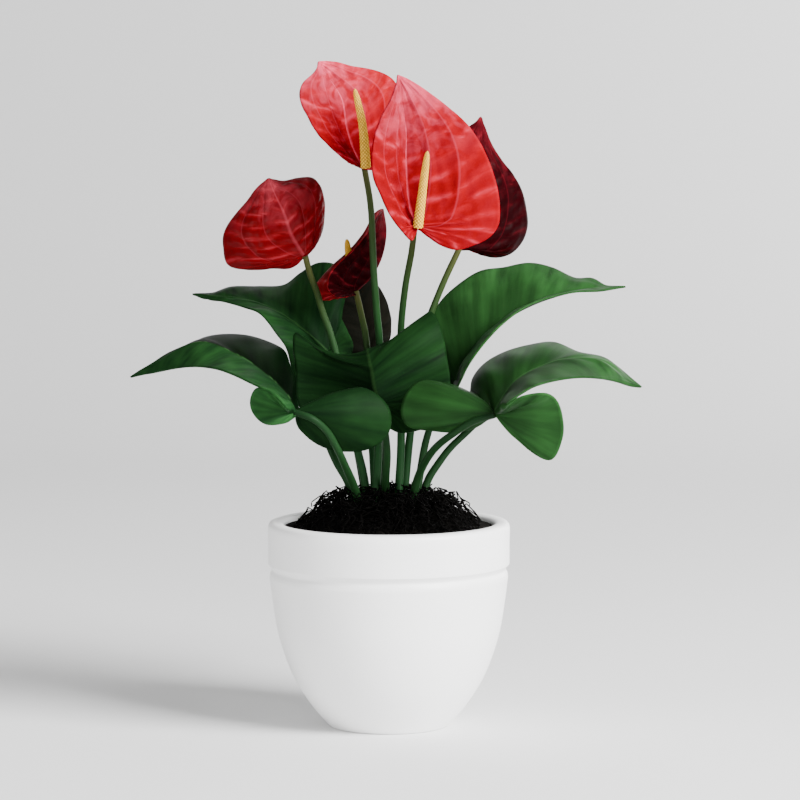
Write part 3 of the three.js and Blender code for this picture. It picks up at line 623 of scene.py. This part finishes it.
def leaf_material(name, deep, mid, pale, vein_tone, roughness, gloss):
    """A living leaf: cloudy green, paler along the veins, with painted shade round the junction and painted
    light and shade on each half, and a satin waxy skin.
    """
    leaf = bare_material(name)
    source = add(leaf, "TexCoord")
    split = add(leaf, "SeparateXYZ", {0: source.outputs["UV"]})
    row, across = split.outputs["X"], split.outputs["Y"]
    # bands along the veins, each a little lighter or darker
    band_place = add(leaf, "Mapping", {"Vector": source.outputs["UV"], "Scale": LEAF_BANDS})
    bands = add(leaf, "TexNoise", {"Vector": band_place, "Scale": 1.0, "Detail": 4.0})
    band_level = add(leaf, "MapRange", {"Value": bands, "From Min": 0.28, "From Max": 0.72})
    cloud = add(leaf, "TexNoise", {
        "Vector": source.outputs["Object"], "Scale": 1 / (LEAF_CLOUD * MM), "Detail": 3.0})
    cloud_level = add(leaf, "MapRange", {"Value": cloud, "From Min": 0.35, "From Max": 0.7})
    ground = add(leaf, "Mix", {0: band_level, 6: colour(deep), 7: colour(mid)}, data_type="RGBA")
    light = add(leaf, "Math", {0: cloud_level, 1: band_level}, operation="MULTIPLY")
    skin = add(leaf, "Mix", {0: light, 6: ground, 7: colour(pale)}, data_type="RGBA")
    # the midrib, where the two halves meet
    from_rib = add(leaf, "Math", {0: across, 1: 0.5}, operation="SUBTRACT")
    rib_reach = add(leaf, "Math", {0: from_rib}, operation="ABSOLUTE")
    rib = add(leaf, "MapRange", {"Value": rib_reach, "From Min": 0.016, "From Max": 0.005})
    # the side veins, one to each wave of the relief
    phase = add(leaf, "Math", {0: row, 1: float(LEAF_VEINS)}, operation="MULTIPLY")
    phase_reach = add(leaf, "Math", {0: phase, 1: 0.5}, operation="PINGPONG")
    side_vein = add(leaf, "MapRange", {"Value": phase_reach, "From Min": 0.09, "From Max": 0.0})
    veins = add(leaf, "Math", {0: side_vein, 1: 0.07}, operation="MULTIPLY")
    veins = add(leaf, "Math", {0: veins, 1: rib}, operation="MAXIMUM")
    vein_share = add(leaf, "Math", {0: veins, 1: 0.22}, operation="MULTIPLY")
    # painted shade: deeper green round the junction, where the blades crowd round it and shade it
    from_junction = add(leaf, "Math", {0: row, 1: RIB_SHARE}, operation="SUBTRACT")
    row_reach = add(leaf, "Math", {0: from_junction}, operation="ABSOLUTE")
    heart_reach = add(leaf, "Math", {0: row_reach, 1: 1.1, 2: rib_reach}, operation="MULTIPLY_ADD")
    heart = add(leaf, "MapRange", {
        "Value": heart_reach, "From Min": 0.55, "From Max": 0.1, "To Max": 0.75})
    skin = add(leaf, "Mix", {0: heart, 6: skin, 7: colour(deep)}, data_type="RGBA")
    tone = add(leaf, "Mix", {0: vein_share, 6: skin, 7: colour(vein_tone)}, data_type="RGBA")
    # painted light and shade: each half lighter or darker, as blade_piece says
    painted_shade = add(leaf, "Attribute", attribute_name="tone")
    tone = add(leaf, "VectorMath", {0: tone, "Scale": painted_shade.outputs["Fac"]}, operation="SCALE")
    # the net of the finest veins, as a faint relief
    net = add(leaf, "TexVoronoi", {
        "Vector": source.outputs["Object"], "Scale": 1 / (LEAF_NET * MM)}, feature="DISTANCE_TO_EDGE")
    bump = add(leaf, "Bump", {"Height": net, "Strength": 0.05, "Distance": 0.001})
    shader = add(leaf, "BsdfPrincipled", {
        "Base Color": tone, "Roughness": roughness, "Specular IOR Level": gloss, "Normal": bump})
    add(leaf, "OutputMaterial", {"Surface": shader})
    return leaf


def stalk_material(name, low, high):
    """A living stalk: fine streaks in a satin skin, of one colour low down and another near the top."""
    stalk = bare_material(name)
    source = add(stalk, "TexCoord")
    split = add(stalk, "SeparateXYZ", {0: source.outputs["UV"]})
    streak_place = add(stalk, "Mapping", {"Vector": source.outputs["UV"], "Scale": STALK_STREAKS})
    streaks = add(stalk, "TexNoise", {"Vector": streak_place, "Scale": 1.0, "Detail": 3.0})
    height = add(stalk, "Math", {0: split.outputs["X"], 1: 6.0}, operation="POWER")
    rise = add(stalk, "Mix", {0: height, 6: colour(low), 7: colour(high)}, data_type="RGBA")
    shade = add(stalk, "MapRange", {"Value": streaks, "To Min": 0.65, "To Max": 1.35})
    tone = add(stalk, "VectorMath", {0: rise, "Scale": shade}, operation="SCALE")
    shader = add(stalk, "BsdfPrincipled", {
        "Base Color": tone, "Roughness": 0.5, "Specular IOR Level": 0.05})
    add(stalk, "OutputMaterial", {"Surface": shader})
    return stalk


# painted light and shade: a brighter copy of the leaf skin for the lit leaves and a darker one for the rest
shaded_leaf = leaf_material("shaded_leaf_skin", "#08190B", "#132D13", "#1D401D", "#3C6032", 0.42, 0.01)
lit_leaf = leaf_material("lit_leaf_skin", "#10260F", "#1B3A19", "#285226", "#52804A", 0.42, 0.03)
# painted shade: the undersides are coloured dark, as they face down into shade, and the rear leaf's brown one
# almost black
leaf_under = leaf_material("leaf_under_skin", "#0B1A0C", "#112410", "#1A3416", "#2C4A26", 0.6, 0.03)
shaded_brown_under = leaf_material("shaded_brown_leaf_under_skin", "#080A06", "#0F0E0A", "#17150F", "#242018", 0.6, 0.02)
leaf_stalk = stalk_material("leaf_stalk_skin", "#142E15", "#0F2411")


def stalk_taper(top):
    """The radius of a stalk at a share of its length: an even taper from foot to top."""
    slope = top - STALK_FOOT_RADIUS
    return lambda share, turn: (STALK_FOOT_RADIUS + slope * share) * np.ones_like(turn)


def planted(points):
    """A stalk's points with its foot carried straight down into the soil."""
    x, y, z = points[0]
    return [(x, y, z - STALK_DEPTH), *points]


for place, leaf in LEAVES.items():
    skins = [lit_leaf if place in LIT_LEAVES else shaded_leaf, leaf_under]
    if place == "rear":
        skins = [shaded_brown_under, shaded_leaf]  # its brown underside faces the viewer, painted almost black as it stands in shade
    blade = blade_piece(f"leaf_{place}_blade", leaf, leaf_relief, LEAF_THICKNESS, skins,
                        PAINTED_LEAF_SHADES.get(place, NO_PAINTED_SHADES))
    stalk = tube_piece(f"leaf_{place}_stalk", planted(leaf["stalk"]),
                       stalk_taper(LEAF_STALK_TOP_RADIUS), leaf_stalk)
    for piece in (blade, stalk):
        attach(piece, "root")
        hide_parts(f"leaf_{place}")


# ---------- Blooms ----------
# Each bloom is a round stalk, a waxy heart-shaped spathe that grows from its end, and a spadix,
# the finger of tiny flowers that stands on the stalk's end in front of the spathe.
BLOOMS = {
    "top_left": {
        "stalk": [(-9, -9, 147), (-7, -2, 182), (-7, 11, 220), (-6, 13, 250), (-8, 6, 275),
                  (-10, -1, 305), (-12, 3, 345), (-16, 7, 369)],
        "spadix": [(-15, 0, 370), (-17, -10, 397), (-22, -20, 421)],
        "midrib": [(-18, 4, 370), (-24, 6, 382), (-28, 8, 395), (-31, 8, 414), (-40, 6, 429),
                   (-46, 2, 439)],
        "notch": (-15, 5, 368),
        "left": {"ahead": 0.85, "arch": -0.05, "margin": [
            (-48, -1, 433), (-56, -8, 425), (-58, -12, 419), (-57, -16, 412), (-52, -18, 402),
            (-47, -16, 393), (-37, -10, 382), (-28, -3, 374), (-20, 2, 370)]},
        "right": {"ahead": 0.8, "arch": -0.05, "margin": [
            (-36, 6, 439), (-24, 10, 436), (-12, 14, 434), (-1, 16, 430), (5, 17, 424),
            (8, 16, 411), (6, 14, 391), (-1, 11, 374), (-9, 8, 368)]},
    },
    "top_middle": {
        "stalk": [(6, -7, 147), (8, 2, 183), (8, 11, 225), (8, 11, 262), (11, -1, 292),
                  (15, -14, 315), (17, -26, 333)],
        "spadix": [(19, -32, 332), (22, -42, 356), (25, -54, 381)],
        "midrib": [(17, -28, 333), (13, -26, 345), (11, -25, 372), (11, -26, 394), (8, -28, 417),
                   (6, -32, 430)],
        "notch": (19, -29, 330),
        "left": {"ahead": 0.82, "arch": -0.05, "margin": [
            (5, -34, 424), (2, -38, 415), (-5, -44, 402), (-10, -50, 385), (-10, -52, 366),
            (-5, -50, 353), (1, -46, 340), (9, -40, 329), (15, -35, 323), (17, -32, 326)]},
        "right": {"ahead": 0.62, "arch": -0.05, "margin": [
            (15, -30, 426), (27, -28, 418), (40, -28, 408), (51, -30, 398), (60, -33, 385),
            (67, -36, 369), (71, -38, 354), (72, -39, 343), (71, -39, 333), (65, -38, 325),
            (55, -36, 320), (44, -34, 317), (34, -32, 320), (26, -30, 326)]},
    },
    "top_right": {
        "stalk": [(10, 3, 147), (13, 9, 182), (19, 15, 230), (24, 18, 260), (35, 20, 290),
                  (47, 22, 316)],
        "spadix": [(46, 30, 319), (42, 44, 344), (38, 56, 364)],
        "midrib": [(47, 24, 317), (50, 26, 338), (55, 26, 361), (58, 24, 384), (61, 24, 403)],
        "notch": (48, 24, 314),
        "left": {"ahead": 0.8, "arch": -0.12, "margin": [
            (57, 24, 399), (50, 28, 393), (43, 34, 379), (37, 40, 361), (35, 44, 341),
            (37, 42, 324), (42, 33, 316)]},
        "right": {"ahead": 0.66, "arch": -0.12, "margin": [
            (64, 26, 395), (68, 31, 385), (75, 35, 374), (83, 40, 364), (89, 45, 353),
            (92, 49, 341), (93, 52, 330), (90, 53, 320), (83, 51, 312), (73, 44, 309),
            (61, 34, 311), (53, 27, 314)]},
    },
    "left": {
        "stalk": [(-14, -3, 147), (-17, 0, 168), (-21, 4, 184), (-30, 11, 225), (-39, 14, 260),
                  (-44, 14, 274), (-48, 12, 288), (-52, 8, 299), (-55, 5, 311)],
        "spadix": [(-58, 12, 314), (-67, 28, 325), (-74, 42, 334)],
        "midrib": [(-56, 6, 312), (-64, 8, 325), (-69, 10, 339), (-75, 14, 351), (-80, 20, 362)],
        "notch": (-56, 6, 310),
        "left": {"ahead": 0.6, "arch": -0.12, "margin": [
            (-88, 23, 355), (-94, 25, 347), (-101, 27, 339), (-107, 28, 331), (-110, 28, 324),
            (-110, 27, 316), (-107, 23, 305), (-94, 19, 302), (-77, 15, 303), (-66, 11, 303),
            (-60, 8, 306)]},
        "right": {"ahead": 0.75, "arch": -0.12, "margin": [
            (-76, 23, 361), (-70, 26, 360), (-60, 28, 362), (-51, 28, 362), (-46, 27, 357),
            (-43, 25, 346), (-43, 22, 338), (-44, 18, 329), (-47, 14, 321), (-52, 10, 314)]},
    },
    "low": {
        "stalk": [(-9, 4, 147), (-10, 9, 168), (-11, 13, 184), (-14, 19, 225), (-15, 20, 254),
                  (-19, 17, 275), (-22, 14, 288)],
        "spadix": [(-22, 18, 290), (-26, 20, 307), (-28, 20, 322)],
        "midrib": [(-21, 14, 288), (-12, 13, 297), (-5, 14, 310), (-2, 16, 327), (-4, 20, 342)],
        "notch": (-22, 13, 285),
        "left": {"ahead": 0.7, "arch": 0.05, "margin": [
            (-8, 10, 338), (-14, 4, 327), (-24, -2, 315), (-33, -4, 307), (-39, -3, 299),
            (-40, 0, 290), (-34, 6, 284), (-27, 10, 284)]},
        "right": {"ahead": 0.7, "arch": 0.05, "margin": [
            (-9, 26, 339), (-17, 34, 325), (-27, 39, 313), (-39, 41, 302), (-49, 38, 289),
            (-45, 30, 281), (-35, 22, 282), (-26, 16, 284)]},
    },
}

BACKS_SHOWN = ("top_right", "left", "low")  # these blooms turn the backs of their spathes to the viewer
# painted shade: these two blooms stand in shade, so their backs take a darker copy of the back skin
SHADED_BACKS = ("top_right", "low")
# painted light and shade on the halves of two spathes, left half then right, along the midrib and in the
# lobe: the left halves darker, and the right half of one lighter
PAINTED_SPATHE_SHADES = {"top_left": ((0.85, 0.85), (1.15, 1.15)), "top_middle": ((0.78, 0.78), (1.0, 1.0))}
SPATHE_THICKNESS = 1.2
SPATHE_RELIEF = 1.2
SPATHE_RIDGES = 14
RIDGE_SWAY = 1.8  # how far the ridges wander from the rows, with the two rates at which they do
SWAY_ACROSS = 6
SWAY_ROUND = 5
SPATHE_RIPPLES = 6.5  # between the midrib and the margin
MAIN_VEINS = [(0.42, 0.6), (0.78, 0.74)]  # share of the way to the margin, and the row where the vein leaves
SPATHE_STREAKS = (24.0, 5.0, 1.0)  # round a half and across it
SPATHE_PUCKERS = (30.0, 10.0, 1.0)
SPATHE_CLOUD = 14
BLOOM_STALK_TOP_RADIUS = 2
SPADIX_FOOT_RADIUS = 3.2
SPADIX_TIP_RADIUS = 1.9
SPADIX_SIDES = 56
SPADIX_RINGS = 200
PEBBLES_AROUND = 8
PEBBLE_ROWS = 22
PEBBLE_HEIGHT = 0.5
FLOWER_CLOUD = 2.5


def spathe_relief(share, s):
    """Raised main veins, and between them wavy ridges, which are low in the lobes and flat at the margin.

    A main vein starts at the junction and runs up a half at a set share of the way to its margin.
    """
    sway = RIDGE_SWAY * np.sin(SWAY_ACROSS * s + SWAY_ROUND * share)
    ridges = np.sin(2 * np.pi * SPATHE_RIDGES * share + sway) * (0.6 + 0.4 * np.sin(17 * share + 9 * s))
    ridges = ridges + 0.25 * np.sin(2 * np.pi * SPATHE_RIPPLES * s + 4 * share)
    veins = 0
    for out, leaves_at in MAIN_VEINS:
        off = (s - out * (1 - (share / leaves_at) ** 3)) / 0.05
        ridges = ridges * (1 - 0.8 * np.exp(-off**2 / 2))
        veins = veins + np.exp(-off**2) * np.clip((leaves_at - share) * 20, 0, 1)
    calm = 1 - 0.75 * np.clip((share - RIB_SHARE) / 0.15, 0, 1)
    fade = np.sin(np.pi * s) ** 0.6 * np.sin(np.pi * share) ** 0.5
    return SPATHE_RELIEF * calm * (0.7 * ridges + 0.9 * veins) * fade


def spathe_material(name, deep, mid, pale, pale_share, roughness, gloss):
    """A waxy, puckered spathe: streaked red, paler on veins and tip, with painted light on the crests,
    painted shade between them and a soft gloss.
    """
    skin = bare_material(name)
    source = add(skin, "TexCoord")
    split = add(skin, "SeparateXYZ", {0: source.outputs["UV"]})
    row, across = split.outputs["X"], split.outputs["Y"]
    streak_place = add(skin, "Mapping", {"Vector": source.outputs["UV"], "Scale": SPATHE_STREAKS})
    streaks = add(skin, "TexNoise", {
        "Vector": streak_place, "Scale": 1.0, "Detail": 4.0, "Distortion": 0.9})
    streak_level = add(skin, "MapRange", {"Value": streaks, "From Min": 0.35, "From Max": 0.65})
    # painted light on the crests of the ridges and painted shade in the hollows, on the same wave as the
    # relief, where s is twice the way out from the midrib
    from_rib = add(skin, "Math", {0: across, 1: 0.5}, operation="SUBTRACT")
    half_out = add(skin, "Math", {0: from_rib}, operation="ABSOLUTE")
    sway = add(skin, "Math", {0: row, 1: SWAY_ROUND}, operation="MULTIPLY")
    sway = add(skin, "Math", {0: half_out, 1: 2 * SWAY_ACROSS, 2: sway}, operation="MULTIPLY_ADD")
    sway = add(skin, "Math", {0: sway}, operation="SINE")
    sway = add(skin, "Math", {0: sway, 1: RIDGE_SWAY}, operation="MULTIPLY")
    wave = add(skin, "Math", {0: row, 1: 2 * np.pi * SPATHE_RIDGES, 2: sway}, operation="MULTIPLY_ADD")
    wave = add(skin, "Math", {0: wave}, operation="SINE")
    crest = add(skin, "MapRange", {"Value": wave, "From Min": -0.6, "From Max": 1.0})
    painted_crest_light = add(skin, "Math", {0: crest, 1: streak_level}, operation="MULTIPLY")
    ground_level = add(skin, "Math", {0: painted_crest_light, 1: 0.6, 2: 0.4}, operation="MULTIPLY_ADD")
    ground = add(skin, "Mix", {0: ground_level, 6: colour(deep), 7: colour(mid)}, data_type="RGBA")
    # the midrib, then the main veins, each a thin pale line
    veins = add(skin, "MapRange", {"Value": half_out, "From Min": 0.02, "From Max": 0.003})
    for out, leaves_at in MAIN_VEINS:
        along = add(skin, "Math", {0: row, 1: leaves_at}, operation="DIVIDE")
        cubed = add(skin, "Math", {0: along, 1: 3.0}, operation="POWER")
        course = add(skin, "Math", {0: cubed, 1: -out / 2, 2: out / 2}, operation="MULTIPLY_ADD")
        off = add(skin, "Math", {0: half_out, 1: course}, operation="SUBTRACT")
        off = add(skin, "Math", {0: off}, operation="ABSOLUTE")
        line = add(skin, "MapRange", {"Value": off, "From Min": 0.009, "From Max": 0.002, "To Max": 0.4})
        veins = add(skin, "Math", {0: veins, 1: line}, operation="MAXIMUM")
    # pale clouds, none at the junction and most of all at the tip
    cloud = add(skin, "TexNoise", {"Vector": source.outputs["Object"], "Scale": 1 / (SPATHE_CLOUD * MM),
                                   "Detail": 4.0, "Distortion": 1.6})
    cloud_level = add(skin, "MapRange", {"Value": cloud, "From Min": 0.42, "From Max": 0.6})
    tip = add(skin, "MapRange", {"Value": row, "From Min": 0.36, "From Max": 0.0})
    near_tip = add(skin, "Math", {0: tip, 1: 2.5}, operation="POWER")
    cloudy = add(skin, "Math", {0: tip, 1: 0.65, 2: 0.03}, operation="MULTIPLY_ADD")
    lift = add(skin, "Math", {0: cloudy, 1: cloud_level}, operation="MULTIPLY")
    lift = add(skin, "Math", {0: near_tip, 1: 0.55, 2: lift}, operation="MULTIPLY_ADD")
    # painted highlights: thin light lines where the streaks cross the crests
    painted_glint = add(skin, "Math", {0: painted_crest_light, 1: 3.5}, operation="POWER")
    lift = add(skin, "Math", {0: painted_glint, 1: 0.42, 2: lift}, operation="MULTIPLY_ADD")
    lift = add(skin, "Math", {0: veins, 1: 0.5, 2: lift}, operation="MULTIPLY_ADD")
    lift = add(skin, "Math", {0: lift, 1: pale_share}, operation="MULTIPLY", use_clamp=True)
    tone = add(skin, "Mix", {0: lift, 6: ground, 7: colour(pale)}, data_type="RGBA")
    # painted light and shade: each half lighter or darker, as blade_piece says
    painted_shade = add(skin, "Attribute", attribute_name="tone")
    tone = add(skin, "VectorMath", {0: tone, "Scale": painted_shade.outputs["Fac"]}, operation="SCALE")
    pucker_place = add(skin, "Mapping", {"Vector": source.outputs["UV"], "Scale": SPATHE_PUCKERS})
    pucker = add(skin, "TexVoronoi", {"Vector": pucker_place, "Scale": 1.0}, feature="SMOOTH_F1")
    bump = add(skin, "Bump", {"Height": pucker, "Strength": 0.4, "Distance": 0.001})
    shader = add(skin, "BsdfPrincipled", {
        "Base Color": tone, "Roughness": roughness, "Specular IOR Level": gloss, "Normal": bump})
    add(skin, "OutputMaterial", {"Surface": shader})
    return skin


spathe_face = spathe_material("spathe_face_skin", "#640107", "#8E0310", "#D24E68", 0.6, 0.32, 0.008)
spathe_back = spathe_material("spathe_back_skin", "#3C0205", "#72070E", "#A83C48", 0.6, 0.35, 0.03)
# painted shade: a darker copy of the back skin, for the blooms that stand in shade
spathe_shaded_back = spathe_material("spathe_shaded_back_skin", "#0B0001", "#200204", "#781824", 0.5, 0.35, 0.012)
bloom_stalk = stalk_material("bloom_stalk_skin", "#153318", "#3C3C1E")

# Hundreds of tiny closed flowers, matt and creamy yellow, with painted shade in the gaps between them.
pollen = bare_material("spadix_flowers")
pollen_source = add(pollen, "TexCoord")
pollen_split = add(pollen, "SeparateXYZ", {0: pollen_source.outputs["UV"]})
pollen_along, pollen_round = pollen_split.outputs["X"], pollen_split.outputs["Y"]
pollen_cloud = add(pollen, "TexNoise", {
    "Vector": pollen_source.outputs["Object"], "Scale": 1 / (FLOWER_CLOUD * MM)})
pollen_ground = add(pollen, "Mix", {
    0: pollen_cloud, 6: colour("#D4941A"), 7: colour("#F2C450")}, data_type="RGBA")
# the painted shade in the gaps, on the same two crossing waves as the pebbles
pollen_up = add(pollen, "Math", {0: pollen_along, 1: np.pi * PEBBLE_ROWS}, operation="MULTIPLY")
pollen_gap = None
for way in (np.pi * PEBBLES_AROUND, -np.pi * PEBBLES_AROUND):
    spiral = add(pollen, "Math", {0: pollen_round, 1: way, 2: pollen_up}, operation="MULTIPLY_ADD")
    spiral = add(pollen, "Math", {0: spiral}, operation="COSINE")
    spiral = add(pollen, "Math", {0: spiral}, operation="ABSOLUTE")
    pollen_gap = spiral if pollen_gap is None else add(pollen, "Math", {
        0: pollen_gap, 1: spiral}, operation="MINIMUM")
pollen_painted_shade = add(pollen, "MapRange", {"Value": pollen_gap, "From Max": 0.75, "To Min": 0.2})
pollen_tone = add(pollen, "VectorMath", {0: pollen_ground, "Scale": pollen_painted_shade}, operation="SCALE")
pollen_shader = add(pollen, "BsdfPrincipled", {
    "Base Color": pollen_tone, "Roughness": 0.6, "Specular IOR Level": 0.03})
add(pollen, "OutputMaterial", {"Surface": pollen_shader})


def spadix_radius(share, turn):
    """A taper that rounds off at the tip, covered in pebbles that sit in two crossing spirals."""
    rounding = np.sqrt(1 - share**12)
    taper = (SPADIX_FOOT_RADIUS + (SPADIX_TIP_RADIUS - SPADIX_FOOT_RADIUS) * share) * rounding
    one_way = np.cos(PEBBLES_AROUND / 2 * turn + np.pi * PEBBLE_ROWS * share)
    other_way = np.cos(PEBBLES_AROUND / 2 * turn - np.pi * PEBBLE_ROWS * share)
    return taper + PEBBLE_HEIGHT * (np.abs(one_way * other_way) ** 0.6 - 0.5) * rounding


for place, bloom in BLOOMS.items():
    back = spathe_shaded_back if place in SHADED_BACKS else spathe_back
    front = spathe_back if place == "low" else spathe_face  # painted shade: the half-open one's inside, deep in shade, takes the back skin, darker than the face skin
    spathe = blade_piece(f"bloom_{place}_spathe_skin", bloom, spathe_relief, SPATHE_THICKNESS,
                         [front, back], PAINTED_SPATHE_SHADES.get(place, NO_PAINTED_SHADES),
                         face=1 if place in BACKS_SHOWN else -1)
    stalk = tube_piece(f"bloom_{place}_stem", planted(bloom["stalk"]),
                       stalk_taper(BLOOM_STALK_TOP_RADIUS), bloom_stalk)
    spadix = tube_piece(f"bloom_{place}_finger", bloom["spadix"], spadix_radius, pollen,
                        SPADIX_SIDES, SPADIX_RINGS)
    for piece, slot in ((spathe, "spathe"), (stalk, "stalk"), (spadix, "spadix")):
        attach(piece, "root")
        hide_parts(f"bloom_{place}_{slot}")
